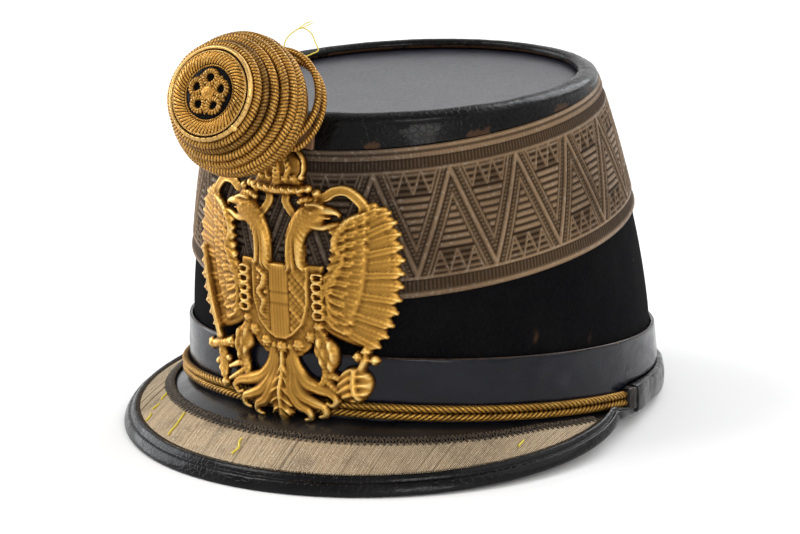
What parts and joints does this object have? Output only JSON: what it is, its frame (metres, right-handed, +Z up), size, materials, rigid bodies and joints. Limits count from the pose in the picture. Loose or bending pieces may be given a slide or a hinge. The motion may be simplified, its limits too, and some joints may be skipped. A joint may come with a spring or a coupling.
{
  "type": "kepi-shaped ceremonial officer's shako",
  "caption": "Tall felt kepi-shaped dress cap with a leather rim, lace band, laced peak, gilt eagle plate, bullion rosette, gold chin cord and folded neck flap.",
  "frame": {"origin": "bottom centre of the box round the cap as it rests on its base and the rim of its peak", "axes": "+Z up through the crown, -Y towards the front where the peak and rosette are, +X towards the wearer's left"},
  "size_m": [0.1894, 0.241, 0.1528],
  "materials": {
    "felt": "black wool felt",
    "patent_leather": "black varnished leather",
    "satin_leather": "worn varnished leather",
    "silver_lace": "tarnished silver lace",
    "peak_lace": "pale gilt wire lace",
    "gimp": "dark zigzag gimp",
    "gold_cord": "twisted gold wire cord",
    "gilt": "matte gilt brass",
    "brown_leather": "bare brown leather",
    "velvet": "black velvet"
  },
  "bodies": {
    "root": {"crown_body": "felt", "top_disc": "satin_leather", "top_band": "patent_leather", "crown_lace": "silver_lace", "base_band": "patent_leather", "peak_board": "patent_leather", "peak_lace": "peak_lace", "peak_gimp": "gimp", "peak_binding": "patent_leather", "chin_cord_upper": "gold_cord", "chin_cord_lower": "gold_cord", "neck_flap": "patent_leather", "flap_mouth_left": "brown_leather", "flap_mouth_right": "brown_leather", "eagle_plate": "gilt", "rosette_coils": "gold_cord", "rosette_ring": "gilt", "rosette_border": "gold_cord", "rosette_velvet": "velvet", "rosette_knot": "gold_cord", "rosette_tab": "brown_leather", "rosette_shank": "gilt"}
  },
  "joints": []
}
